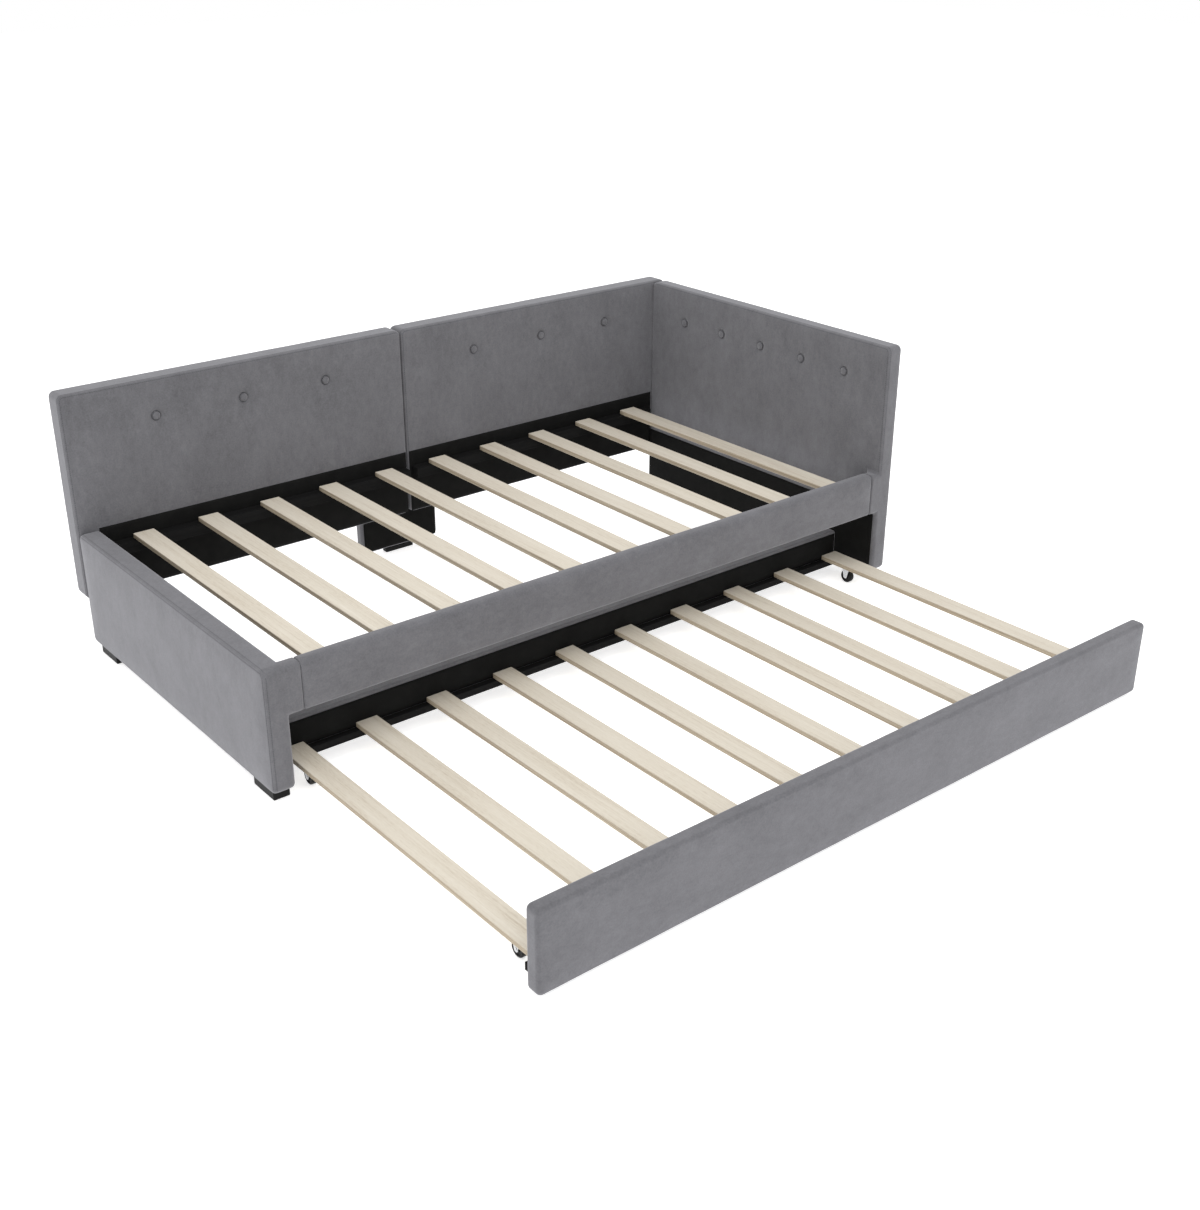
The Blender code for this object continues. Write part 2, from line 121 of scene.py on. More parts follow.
add_floor()
add_room()
add_lamp("lamp_above", (-0.6, -1.2, 3.6), (0.0, 0.0, 0.2), (3.6, 3.0), 50.0)
add_lamp("lamp_footboard", (-4.2, -1.6, 2.0), (0.0, 0.0, 0.3), (2.4, 2.0), 3.0)
add_camera()
bpy.context.scene.view_settings.view_transform = "Standard"
bpy.context.scene.view_settings.look = "None"


# ---- Velvet
# Short-pile polyester velvet. The pile lies in soft clouds and shines a little where it turns
# away.
# Shade is painted darker down in a sewn line, with its stitches, and in the crease round a button.

VELVET_DARK = (0.091, 0.090, 0.097, 1.0)
VELVET_LIGHT = (0.155, 0.154, 0.165, 1.0)
# Painted shade down in a sewn line's groove.
VELVET_SEAM_SHADE = (0.050, 0.050, 0.055, 1.0)
# Painted shade in the crease round a button, and at a button's rim.
VELVET_CREASE_SHADE = (0.026, 0.026, 0.029, 1.0)
VELVET_SHEEN = (0.82, 0.82, 0.86, 1.0)
ACROSS_BRUSHING = 1.6  # how much finer the clouds are across the brushing
CLOUD_SCALE, CLOUD_SHARE = 7.0, 0.32
MOTTLE_SCALE, MOTTLE_SHARE = 38.0, 0.30
PILE_SCALE, PILE_SHARE = 230.0, 0.38
FINE_SCALE = 900.0
STITCH_LENGTH = 0.006
STITCH_CONTRAST = 0.35


def add_node(tree, kind, **values):
    """A node with the given sockets set."""
    made = tree.nodes.new(kind)
    for name, value in values.items():
        made.inputs[name.replace("_", " ")].default_value = value
    return made


def add_noise(tree, scale, stretch=(1.0, 1.0, 1.0), detail=3.0, roughness=0.55):
    """Noise on the piece's own coordinates in metres, stretched per axis."""
    place = tree.nodes.new("ShaderNodeTexCoord")
    mapping = add_node(tree, "ShaderNodeMapping", Scale=stretch)
    grain = add_node(
        tree, "ShaderNodeTexNoise", Scale=scale, Detail=detail, Roughness=roughness
    )
    tree.links.new(place.outputs["Object"], mapping.inputs["Vector"])
    tree.links.new(mapping.outputs["Vector"], grain.inputs["Vector"])
    return grain.outputs["Fac"]


def add_math(tree, operation, first, second):
    made = tree.nodes.new("ShaderNodeMath")
    made.operation = operation
    for socket, value in zip(made.inputs, (first, second)):
        if isinstance(value, float):
            socket.default_value = value
        else:
            tree.links.new(value, socket)
    return made.outputs[0]


def add_mix(tree, parts):
    """The sum of (socket, share) parts."""
    mixed = None
    for socket, share in parts:
        part = add_math(tree, "MULTIPLY", socket, share)
        mixed = part if mixed is None else add_math(tree, "ADD", mixed, part)
    return mixed


def add_mark(tree, name):
    """What a piece's own point attribute says, from 0 to 1."""
    made = tree.nodes.new("ShaderNodeAttribute")
    made.attribute_name = name
    return made.outputs["Fac"]


def add_parts(tree, source):
    """The X, Y and Z sockets of one of the texture coordinates."""
    place = tree.nodes.new("ShaderNodeTexCoord")
    parts = tree.nodes.new("ShaderNodeSeparateXYZ")
    tree.links.new(place.outputs[source], parts.inputs[0])
    return parts.outputs


def add_ramp(tree, factor, stops):
    """A colour ramp with (place, colour) stops."""
    made = tree.nodes.new("ShaderNodeValToRGB")
    tree.links.new(factor, made.inputs["Fac"])
    ramp = made.color_ramp
    while len(ramp.elements) < len(stops):
        ramp.elements.new(0.5)
    for element, (place, colour) in zip(ramp.elements, stops):
        element.position = place
        element.color = colour
    return made.outputs["Color"]


def add_blend(tree, factor, first, second):
    """One colour turning into another. Each may be a colour or a socket."""
    made = tree.nodes.new("ShaderNodeMix")
    made.data_type = "RGBA"
    tree.links.new(factor, made.inputs["Factor"])
    for socket, value in ((made.inputs[6], first), (made.inputs[7], second)):
        if isinstance(value, tuple):
            socket.default_value = value
        else:
            tree.links.new(value, socket)
    return made.outputs[2]


def add_bump(tree, shader, heights):
    """Bumps one over another, each (height socket, strength, depth in metres)."""
    normal = None
    for height, strength, depth in heights:
        bump = add_node(tree, "ShaderNodeBump", Strength=strength, Distance=depth)
        tree.links.new(height, bump.inputs["Height"])
        if normal:
            tree.links.new(normal, bump.inputs["Normal"])
        normal = bump.outputs["Normal"]
    tree.links.new(normal, shader.inputs["Normal"])


def velvet_material(name, along):
    """Velvet, brushed a little along one axis."""
    made, tree, shader = new_material(name)
    stretch = [ACROSS_BRUSHING] * 3
    stretch[along] = 1.0
    cloud = add_noise(tree, CLOUD_SCALE, stretch=tuple(stretch), detail=5.0, roughness=0.6)
    mottle = add_noise(tree, MOTTLE_SCALE, stretch=tuple(stretch), detail=4.0, roughness=0.65)
    pile = add_noise(tree, PILE_SCALE, detail=3.0, roughness=0.7)
    fine = add_noise(tree, FINE_SCALE, detail=2.0, roughness=0.7)
    mixed = add_mix(tree, [(cloud, CLOUD_SHARE), (mottle, MOTTLE_SHARE), (pile, PILE_SHARE)])
    base = add_ramp(tree, mixed, [(0.34, VELVET_DARK), (0.66, VELVET_LIGHT)])
    along_x, along_y, along_z = add_parts(tree, "Object")
    # The sewn line is painted darker: painted shade down in its groove, with the stitches as
    # dashes along it.
    run = add_math(tree, "ADD", along_x, add_math(tree, "ADD", along_y, along_z))
    stitch_and_shade = add_math(tree, "MULTIPLY", run, math.tau / STITCH_LENGTH)
    stitch_and_shade = add_math(tree, "SINE", stitch_and_shade, 0.0)
    stitch_and_shade = add_math(tree, "MULTIPLY", stitch_and_shade, STITCH_CONTRAST)
    stitch_and_shade = add_math(tree, "ADD", stitch_and_shade, 1.0 - STITCH_CONTRAST)
    stitch_and_shade = add_math(tree, "MULTIPLY", stitch_and_shade, add_mark(tree, "sewn"))
    colour = add_blend(tree, stitch_and_shade, base, VELVET_SEAM_SHADE)
    # Painted shade in the crease round a button and at each button's rim.
    colour = add_blend(tree, add_mark(tree, "painted_shade"), colour, VELVET_CREASE_SHADE)
    tree.links.new(colour, shader.inputs["Base Color"])
    shader.inputs["Roughness"].default_value = 0.95
    shader.inputs["Specular IOR Level"].default_value = 0.12
    shader.inputs["Sheen Weight"].default_value = 0.50
    shader.inputs["Sheen Roughness"].default_value = 0.5
    shader.inputs["Sheen Tint"].default_value = VELVET_SHEEN
    add_bump(
        tree, shader, [(mottle, 0.22, 0.0012), (pile, 0.35, 0.0006), (fine, 0.25, 0.0003)]
    )
    return made


velvet_upright = velvet_material("grey_velvet_upright", 2)
velvet_level = velvet_material("grey_velvet_level", 0)


# ---- Back panels
# Two boards of wood and foam stand end to end along the back. The cover is boxed: a sewn line runs
# on each side of every padded edge. Three covered buttons pull each panel in.

EDGE_RADIUS = 0.011
CORNER_RADIUS = 0.017
EDGE_STEPS = 12
CORNER_STEPS = 8
SEAM_TURNS = (30.0, 75.0)  # where the sewn lines run on a rounded edge, in degrees
SEAM_WIDTH = 0.00012  # a point this near to the line is drawn in with it
SEAM_DEPTH = 0.0011
COVER_SPACING = 0.012
COVER_MARGIN = 0.003  # from a rounded corner to the first cut
BUTTON_SPACING = 0.004
BUTTON_CUTS_REACH = 0.024
DIMPLE_DEPTH = 0.0070
DIMPLE_FLAT = 0.0105
DIMPLE_REACH = 0.040
DIMPLE_STEEPNESS = 2.4
DIMPLE_FOLDS = 7
FOLD_DEPTH = 0.06  # as a share of the dimple's
HELD_MARGIN = 0.001  # past the flat of the dimple
CREASE_SHADE_WIDTH = 0.0032
COVER_SWELL = 0.0045
COVER_PRESSURE = 3.0
COVER_FRAMES = 14
COVER_SOFTNESS = 0.0004  # the cover's slight unevenness
COVER_GROWTH = 0.0038  # how far foam and cloth stand out over the plain board
PANEL_END_GROWTH = {"left": COVER_GROWTH * 1.4, "right": COVER_GROWTH * 1.2}
PANEL_GROWTH = COVER_GROWTH * 0.5  # at the top and behind
ON_FACE = 0.0005  # a point this near to a plane lies on it

CLOTH_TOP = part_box("dust_cloth_back_left")[1].z
CLOTH_HEM = 0.002  # above the black cloth, where the velvet is still held down


def middle_of(node):
    low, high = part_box(node)
    return (low + high) / 2


PANEL_BUTTONS = {
    side: [middle_of(f"button_back_{side}_{number}") for number in (1, 2, 3)]
    for side in ("left", "right")
}


def new_block(name, low, high):
    """A plain block between two corner points."""
    deselect()
    middle = [(a + b) / 2 for a, b in zip(low, high)]
    bpy.ops.mesh.primitive_cube_add(size=1.0, location=middle)
    block = bpy.context.object
    block.name = name
    block.data.name = name
    block.scale = [b - a for a, b in zip(low, high)]
    bpy.ops.object.transform_apply(location=True, rotation=True, scale=True)
    return block


def apply_modifiers(piece):
    deselect()
    bpy.context.view_layer.objects.active = piece
    piece.select_set(True)
    for modifier in list(piece.modifiers):
        bpy.ops.object.modifier_apply(modifier=modifier.name)


def round_edges(piece, width, steps, share):
    """Rounds each edge by width times share(edge), which is given the bmesh edge."""
    shape = bmesh.new()
    shape.from_mesh(piece.data)
    shape.edges.ensure_lookup_table()
    shares = [share(edge) for edge in shape.edges]
    shape.free()
    weights = piece.data.attributes.get("bevel_weight_edge")
    if weights is None:
        weights = piece.data.attributes.new("bevel_weight_edge", "FLOAT", "EDGE")
    weights.data.foreach_set("value", shares)
    rounding = piece.modifiers.new("Rounding", "BEVEL")
    rounding.limit_method = "WEIGHT"
    rounding.width = width
    rounding.segments = steps
    rounding.use_clamp_overlap = False
    apply_modifiers(piece)
    weights = piece.data.attributes.get("bevel_weight_edge")
    if weights is not None:
        piece.data.attributes.remove(weights)


def runs_along(edge, axis):
    line = (edge.verts[0].co - edge.verts[1].co).normalized()
    return abs(line[axis]) > 0.99


def is_sharp(edge):
    return edge.calc_face_angle(0.0) > math.radians(60)


def cut_across(piece, axis, places):
    """Cuts a piece's faces on planes across an axis, so that the cover can bend there."""
    bpy.context.view_layer.objects.active = piece
    bpy.ops.object.mode_set(mode="EDIT")
    normal = [0.0, 0.0, 0.0]
    normal[axis] = 1.0
    for place in places:
        point = [0.0, 0.0, 0.0]
        point[axis] = place
        bpy.ops.mesh.select_all(action="SELECT")
        bpy.ops.mesh.bisect(plane_co=point, plane_no=normal)
    bpy.ops.object.mode_set(mode="OBJECT")


def cover_cuts(low, high, buttons):
    """Places for cuts: even ones, and close ones by each button."""
    count = max(1, round((high - low) / COVER_SPACING))
    places = [low + (high - low) * i / count for i in range(count + 1)]
    places = [p for p in places if all(abs(p - b) > BUTTON_CUTS_REACH for b in buttons)]
    steps = round(BUTTON_CUTS_REACH / BUTTON_SPACING)
    for button in buttons:
        places += [button + BUTTON_SPACING * i for i in range(-steps, steps + 1)]
    return sorted(set(round(p, 5) for p in places if low <= p <= high))


def points_of(piece):
    points = np.empty(len(piece.data.vertices) * 3)
    piece.data.vertices.foreach_get("co", points)
    return points.reshape(-1, 3)


def normals_of(piece):
    normals = np.empty(len(piece.data.vertices) * 3, np.float32)
    piece.data.vertex_normals.foreach_get("vector", normals)
    return normals.reshape(-1, 3).astype(float)


def set_points(piece, points):
    piece.data.vertices.foreach_set("co", points.astype(np.float32).ravel())
    piece.data.update()


def mark_points(piece, name, values):
    """Writes a point attribute, which the velvet reads."""
    marks = piece.data.attributes.new(name, "FLOAT", "POINT")
    marks.data.foreach_set("value", values.astype(np.float32))


def ease(value):
    """0 to 1, with soft ends."""
    value = np.clip(value, 0.0, 1.0)
    return value * value * (3 - 2 * value)


def sew(piece, axis, faces, keep=None):
    """Draws the cover in along two lines on each face's rounded edge, and marks them as sewn."""
    points = points_of(piece)
    sewn = np.zeros(len(points), bool)
    for face, inwards in faces:
        depth = (points[:, axis] - face) * inwards
        for turn in SEAM_TURNS:
            line = EDGE_RADIUS * (1 - math.cos(math.radians(turn)))
            sewn |= abs(depth - line) < SEAM_WIDTH
    if keep is not None:
        sewn &= keep(points)
    mark_points(piece, "sewn", sewn)
    set_points(piece, points - normals_of(piece) * SEAM_DEPTH * sewn[:, None])
    return sewn


def press_buttons(piece, axis, outwards, face, buttons):
    """Pulls the cover in round each button and marks painted shade in its crease. It returns the
    points that the buttons hold.
    """
    points = points_of(piece)
    held = np.zeros(len(points), bool)
    crease_shading = np.zeros(len(points))
    on_face = abs(points[:, axis] - face) < ON_FACE
    across = [i for i in range(3) if i != axis]
    for button in buttons:
        offset = points[:, across] - np.array([button[i] for i in across])
        reach = np.linalg.norm(offset, axis=1)
        turn = np.arctan2(offset[:, 1], offset[:, 0])
        away = np.clip((reach - DIMPLE_FLAT) / (DIMPLE_REACH - DIMPLE_FLAT), 0.0, 1.0)
        sink = (1 - away) ** DIMPLE_STEEPNESS
        wave = np.cos(DIMPLE_FOLDS * turn + button[across[0]] * 40)
        folds = FOLD_DEPTH * wave * sink * (1 - sink) * 4
        points[:, axis] -= outwards * DIMPLE_DEPTH * (sink + folds) * on_face
        # The crease mark is painted shade, in a band just past the dimple's flat.
        past = (reach - DIMPLE_FLAT - HELD_MARGIN) / CREASE_SHADE_WIDTH
        crease_shading = np.maximum(crease_shading, on_face * (1 - ease(past)))
        held |= on_face & (reach < DIMPLE_FLAT + HELD_MARGIN)
    set_points(piece, points)
    mark_points(piece, "painted_shade", crease_shading)
    return held


def swell(piece, held, most):
    """Lets the cover swell over its foam, held by its seams, staples and buttons."""
    rest = points_of(piece)
    group = piece.vertex_groups.new(name="held")
    group.add([int(i) for i in np.flatnonzero(held)], 1.0, "REPLACE")
    cloth = piece.modifiers.new("Cover", "CLOTH")
    cloth.settings.quality = 4
    cloth.settings.mass = 0.3
    cloth.settings.tension_stiffness = 12.0
    cloth.settings.compression_stiffness = 12.0
    cloth.settings.shear_stiffness = 6.0
    cloth.settings.bending_stiffness = 0.4
    cloth.settings.vertex_group_mass = "held"
    cloth.settings.use_pressure = True
    cloth.settings.uniform_pressure_force = COVER_PRESSURE
    cloth.settings.effector_weights.gravity = 0.0
    cloth.point_cache.frame_start = 1
    cloth.point_cache.frame_end = COVER_FRAMES
    for step in range(1, COVER_FRAMES + 1):
        bpy.context.scene.frame_set(step)
    graph = bpy.context.evaluated_depsgraph_get()
    swollen = piece.evaluated_get(graph).data
    moved = np.empty(len(swollen.vertices) * 3)
    swollen.vertices.foreach_get("co", moved)
    move = moved.reshape(-1, 3) - rest
    size = np.linalg.norm(move, axis=1, keepdims=True)
    limited = most * np.tanh(size / most)
    piece.modifiers.remove(cloth)
    piece.vertex_groups.clear()
    bpy.context.scene.frame_set(1)
    set_points(piece, rest + move / np.maximum(size, 1e-9) * limited)


def unevenness(piece, amount, still=None):
    """Gives the cover the slight unevenness of foam under cloth."""
    points = points_of(piece)
    normals = normals_of(piece)
    lift = np.array(
        [noise.noise(Vector(p) * 9.0) + 0.5 * noise.noise(Vector(p) * 23.0) for p in points]
    )
    if still is not None:
        lift[still] = 0.0
    set_points(piece, points + normals * (amount * lift)[:, None])


def finish_smooth(piece, material):
    piece.data.shade_smooth()
    piece.data.materials.clear()
    piece.data.materials.append(material)


def finish_cover(piece, velvet, body, node):
    """One subdivision and smooth shading for a padded board; then it joins its body and its CAD
    node is hidden.
    """
    finer = piece.modifiers.new("Finer", "SUBSURF")
    finer.levels = finer.render_levels = 1
    apply_modifiers(piece)
    finish_smooth(piece, velvet)
    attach(piece, body)
    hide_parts(node)


def add_back_panel(side):
    node = "back_panel_" + side
    low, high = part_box(node)
    low, high = Vector(low), Vector(high)
    high.y += PANEL_GROWTH
    high.z += PANEL_GROWTH
    if side == "left":
        low.x -= PANEL_END_GROWTH[side]
    else:
        high.x += PANEL_END_GROWTH[side]
    buttons = PANEL_BUTTONS[side]
    panel = new_block("upholstered_" + node, low, high)
    round_edges(panel, CORNER_RADIUS, CORNER_STEPS, lambda e: float(runs_along(e, 1)))
    round_edges(panel, EDGE_RADIUS, EDGE_STEPS, lambda e: float(is_sharp(e)))
    margin = CORNER_RADIUS + COVER_MARGIN
    places = cover_cuts(low.x + margin, high.x - margin, [b.x for b in buttons])
    cut_across(panel, 0, places)
    places = cover_cuts(low.z + margin, high.z - margin, [b.z for b in buttons])
    cut_across(panel, 2, places)
    points = points_of(panel)
    padded = (points[:, 1] < low.y + ON_FACE) & (points[:, 2] > CLOTH_TOP + CLOTH_HEM)
    sewn = sew(panel, 1, [(low.y, 1), (high.y, -1)])
    held = press_buttons(panel, 1, -1, low.y, buttons)
    swell(panel, sewn | held | ~padded, COVER_SWELL)
    unevenness(panel, COVER_SOFTNESS, held)
    finish_cover(panel, velvet_upright, "bed_frame", node)


for panel_side in ("left", "right"):
    add_back_panel(panel_side)


# ---- Headboard and footboard
# Padded end boards on the same kind of frame. Each turns the corner at the front with a short
# padded return, which the front rail butts against. The velvet runs on round it in one piece.

HEAD_BUTTONS = [middle_of(f"button_headboard_{number}") for number in (1, 2, 3, 4, 5)]
HEAD_CLOTH_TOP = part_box("dust_cloth_headboard")[1].z
HEAD_CLOTH_HEM = 0.004
SEAM_END = 0.004  # how far over the rail the inner seams end
END_THICKNESS = 0.053
END_LOW_GROWTH = COVER_GROWTH * 0.5
END_TOP_GROWTH = COVER_GROWTH * 0.4
HEAD_OUTER_GROWTH = COVER_GROWTH
FOOT_OUTER_GROWTH = COVER_GROWTH * 1.3
HIGH_BOARD = 0.1  # a board that stands this far over the rail is a high one
RETURN_TIP_SHARE = 0.55  # of the edge radius
SOFT_SHARE = 2.0  # for the top front edge of the low boards
TOUCH = 0.0001


def at_top_front(edge, low, high):
    """Whether an edge lies at both the top and the front of a board."""
    ends = [vertex.co for vertex in edge.verts]
    return all(end.z > high.z - ON_FACE and end.y < low.y + ON_FACE for end in ends)


def add_return(board, inner, tip, rail):
    """Draws the return out of the board's inner face, over the rail's height and thickness."""
    low, high = rail
    for axis, place in ((2, low.z), (2, high.z), (1, high.y)):
        cut_across(board, axis, [place])
    bpy.context.view_layer.objects.active = board
    bpy.ops.object.mode_set(mode="EDIT")
    bpy.ops.mesh.select_all(action="DESELECT")
    bpy.ops.mesh.select_mode(type="FACE")
    shape = bmesh.from_edit_mesh(board.data)
    for face in shape.faces:
        middle = face.calc_center_median()
        at_inner = abs(middle.x - inner) < TOUCH
        in_height = low.z - TOUCH < middle.z < high.z + TOUCH
        face.select_set(at_inner and in_height and middle.y < high.y)
    bmesh.update_edit_mesh(board.data)
    reach = (tip - inner, 0.0, 0.0)
    bpy.ops.mesh.extrude_region_move(TRANSFORM_OT_translate={"value": reach})
    bpy.ops.mesh.select_all(action="SELECT")
    bpy.ops.mesh.dissolve_limited(angle_limit=math.radians(1.0))
    bpy.ops.object.mode_set(mode="OBJECT")


def add_end_board(node, side, buttons):
    """An end board with its return. Its side is 1 at the head and -1 at the foot."""
    low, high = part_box(node)
    low, high = Vector(low), Vector(high)
    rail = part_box("front_rail")
    if side > 0:
        inner, tip = high.x - END_THICKNESS, low.x
        high.x += HEAD_OUTER_GROWTH
        outer = high.x
    else:
        inner, tip = low.x + END_THICKNESS, high.x
        low.x -= FOOT_OUTER_GROWTH
        outer = low.x
    low.z -= END_LOW_GROWTH
    high.z += END_TOP_GROWTH
    if high.z < rail[1].z + HIGH_BOARD:
        rail = (rail[0], Vector((rail[1].x, rail[1].y, high.z)))
    board_low = (min(inner, outer), low.y, low.z)
    board_high = (max(inner, outer), high.y, high.z)
    board = new_block("upholstered_" + node, board_low, board_high)
    add_return(board, inner, tip, rail)
    high_board = high.z > rail[1].z + HIGH_BOARD

    def corner_share(edge):
        """The board's own corners, seen from the end, but not those of the return."""
        middle = (edge.verts[0].co + edge.verts[1].co) / 2
        if not runs_along(edge, 0) or abs(middle.x - (inner + outer) / 2) > 0.02:
            return 0.0
        at_top = middle.z > high.z - 0.001
        at_end = middle.z < low.z + 0.001 or at_top
        at_return = at_top and middle.y < low.y + 0.001 and not high_board
        return float(at_end and is_sharp(edge) and not at_return)

    def edge_share(edge):
        if not is_sharp(edge):
            return 0.0
        if all(abs(vertex.co.x - tip) < ON_FACE for vertex in edge.verts):
            return RETURN_TIP_SHARE
        return SOFT_SHARE if not high_board and at_top_front(edge, low, high) else 1.0

    round_edges(board, CORNER_RADIUS, CORNER_STEPS, corner_share)
    round_edges(board, EDGE_RADIUS, EDGE_STEPS, edge_share)
    margin = CORNER_RADIUS + COVER_MARGIN
    places = cover_cuts(low.y + margin, high.y - margin, [b.y for b in buttons])
    cut_across(board, 1, places)
    places = cover_cuts(low.z + margin, high.z - margin, [b.z for b in buttons])
    cut_across(board, 2, places)
    points = points_of(board)
    free = abs(points[:, 0] - outer) < ON_FACE
    if high_board:
        above = points[:, 2] > HEAD_CLOTH_TOP + HEAD_CLOTH_HEM
        free |= (abs(points[:, 0] - inner) < ON_FACE) & above
    sewn = sew(
        board,
        0,
        [(outer, -side), (inner, side)],
        lambda p: (abs(p[:, 0] - outer) < EDGE_RADIUS) | (p[:, 2] > rail[1].z + SEAM_END),
    )
    held = press_buttons(board, 0, -side, inner, buttons)
    swell(board, sewn | held | ~free, COVER_SWELL)
    unevenness(board, COVER_SOFTNESS, held)
    finish_cover(board, velvet_upright, "bed_frame", node)


add_end_board("headboard", 1, HEAD_BUTTONS)
add_end_board("footboard", -1, [])


# ---- Front rail, centre leg and trundle boards
# Padded boards again, covered in one piece of velvet pulled round the edges and stapled behind, so
# they have no sewn line.

NO_GROWTH = (0, 0, 0)
RAIL_GROWTH = (0, 0, COVER_GROWTH * 0.4)
TRUNDLE_LOW_GROWTH = (COVER_GROWTH, COVER_GROWTH * 0.3, COVER_GROWTH)
TRUNDLE_HIGH_GROWTH = (COVER_GROWTH, 0, COVER_GROWTH)
TRUNDLE_FRONT_CORNER = 0.013
TRUNDLE_REAR_CORNER = 0.012
TRUNDLE_REAR_EDGE = 0.006
PLAIN_SWELL = COVER_SWELL * 0.7


def add_plain_board(node, body, corner, edge_radius, swelling, growths=(NO_GROWTH, NO_GROWTH)):
    """A board that is thin along Y. swelling(points, low, high) says where its cover is free to
    swell, and the growths how far it stands out over the plain board on each side."""
    low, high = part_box(node)
    low, high = Vector(low) - Vector(growths[0]), Vector(high) + Vector(growths[1])
    board = new_block("upholstered_" + node, low, high)
    if corner:
        round_edges(board, corner, CORNER_STEPS, lambda e: float(runs_along(e, 1)))

    def edge_share(edge):
        if corner or not is_sharp(edge):
            return float(is_sharp(edge))
        if abs(edge.verts[0].co.x - edge.verts[1].co.x) < 0.001:
            return RETURN_TIP_SHARE
        return SOFT_SHARE if at_top_front(edge, low, high) else 1.0

    round_edges(board, edge_radius, EDGE_STEPS, edge_share)
    margin = max(corner, edge_radius) + COVER_MARGIN
    cut_across(board, 0, cover_cuts(low.x + margin, high.x - margin, []))
    cut_across(board, 2, cover_cuts(low.z + margin, high.z - margin, []))
    mark_points(board, "sewn", np.zeros(len(board.data.vertices)))
    free = swelling(points_of(board), low, high)
    swell(board, ~free, PLAIN_SWELL)
    unevenness(board, COVER_SOFTNESS)
    finish_cover(board, velvet_level, body, node)


def on_front(points, low, high):
    return points[:, 1] < low.y + ON_FACE


def on_back(points, low, high):
    return points[:, 1] > high.y - ON_FACE


add_plain_board(
    "front_rail", "bed_frame", 0.0, EDGE_RADIUS, on_front, (NO_GROWTH, RAIL_GROWTH)
)
add_plain_board("centre_leg", "bed_frame", CORNER_RADIUS, EDGE_RADIUS, on_back)
add_plain_board(
    "trundle_front_board",
    "trundle",
    TRUNDLE_FRONT_CORNER,
    EDGE_RADIUS,
    on_front,
    (TRUNDLE_LOW_GROWTH, TRUNDLE_HIGH_GROWTH),
)
add_plain_board(
    "trundle_rear_board", "trundle", TRUNDLE_REAR_CORNER, TRUNDLE_REAR_EDGE, on_back
)


# ---- Buttons
# Domed metal buttons wrapped in the same velvet, which is gathered in small folds round the rim. A
# thread through the board pulls each one down into the foam.

BUTTON_RADIUS = 0.0115
BUTTON_DOME = 0.0046
BUTTON_RIM = 0.0018
BUTTON_SINK = 0.0050
BUTTON_STEPS = 32
BUTTON_RINGS = 7
GATHERS = 16
GATHER_DEPTH = 0.00018
RIM_SHADE = 0.8


def add_button(node, middle, face, axis, outwards):
    """Turns a button's side view about its own axis, then sets it in its dimple."""
    deselect()
    bpy.ops.mesh.primitive_circle_add(
        vertices=BUTTON_STEPS, radius=BUTTON_RADIUS, fill_type="NGON"
    )
    button = bpy.context.object
    button.name = "covered_" + node
    bpy.ops.object.mode_set(mode="EDIT")
    bpy.ops.mesh.select_all(action="SELECT")
    bpy.ops.mesh.extrude_region_move(TRANSFORM_OT_translate={"value": (0.0, 0.0, BUTTON_RIM)})
    turns = [math.radians(90 * ring / BUTTON_RINGS) for ring in range(BUTTON_RINGS)]
    for before, turn in zip(turns, turns[1:]):
        rise = BUTTON_DOME * (math.sin(turn) - math.sin(before))
        narrower = math.cos(turn) / math.cos(before)
        bpy.ops.mesh.extrude_region_move(TRANSFORM_OT_translate={"value": (0.0, 0.0, rise)})
        bpy.ops.transform.resize(value=(narrower, narrower, 1.0))
    bpy.ops.mesh.poke()
    bpy.ops.object.mode_set(mode="OBJECT")
    points = points_of(button)
    reach = np.linalg.norm(points[:, :2], axis=1)
    turn = np.arctan2(points[:, 1], points[:, 0])
    gathers = GATHER_DEPTH * np.cos(GATHERS * turn + middle[0] * 30)
    gathers *= ease((reach / BUTTON_RADIUS - 0.6) / 0.4)
    points[:, 2] += gathers * (points[:, 2] > TOUCH)
    towards = Vector((0.0, 0.0, 0.0))
    towards[axis] = outwards
    place = Vector(middle)
    place[axis] = face - outwards * BUTTON_SINK
    turned = towards.to_track_quat("Z", "Y").to_matrix()
    set_points(button, points @ np.array(turned).T + np.array(place))
    # The button's rim is painted darker: painted shade where it sinks into its dimple.
    mark_points(button, "painted_shade", RIM_SHADE * ease((reach / BUTTON_RADIUS - 0.90) / 0.10))
    finish_smooth(button, velvet_upright)
    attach(button, "bed_frame")
    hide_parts(node)


for panel_side in ("left", "right"):
    for number, middle in enumerate(PANEL_BUTTONS[panel_side], 1):
        add_button(f"button_back_{panel_side}_{number}", middle, BACK_Y, 1, -1)
head_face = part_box("headboard")[1].x - END_THICKNESS
for number, middle in enumerate(HEAD_BUTTONS, 1):
    add_button(f"button_headboard_{number}", middle, head_face, 0, -1)


# ---- Black cloth
# Thin black non-woven cloth, cut flat and stapled over the boards' lower inner faces, where the
# mattresses hide them. It bends with a board's rounded edge where it runs on over one.

CLOTH_DARK = (0.003, 0.003, 0.003, 1.0)
CLOTH_LIGHT = (0.009, 0.009, 0.0085, 1.0)
CLOTH_THICKNESS = 0.0008
CLOTH_SPACING = 0.009
CLOTH_RIPPLE = 0.00025
RIPPLE_SCALE = 14.0
CLOTH_TURN = 0.006  # how far a cloth runs on over the board's rounded edge
CLOTH_DEPTH = 0.0014  # from the board to the cloth's front
LEDGE_GAP = 0.0008  # between a ledge and the cloth above it
FRONT_CLOTH_INSET = 0.013
FRONT_CLOTH_TOP_INSET = 0.020
REAR_CLOTH_INSET = 0.0065
REAR_CLOTH_TOP_INSET = 0.0095
LEG_CLOTH_INSET = 0.008
LEG_CLOTH_LOW_INSET = 0.007
LEG_CLOTH_GAP = 0.001  # below the back panels


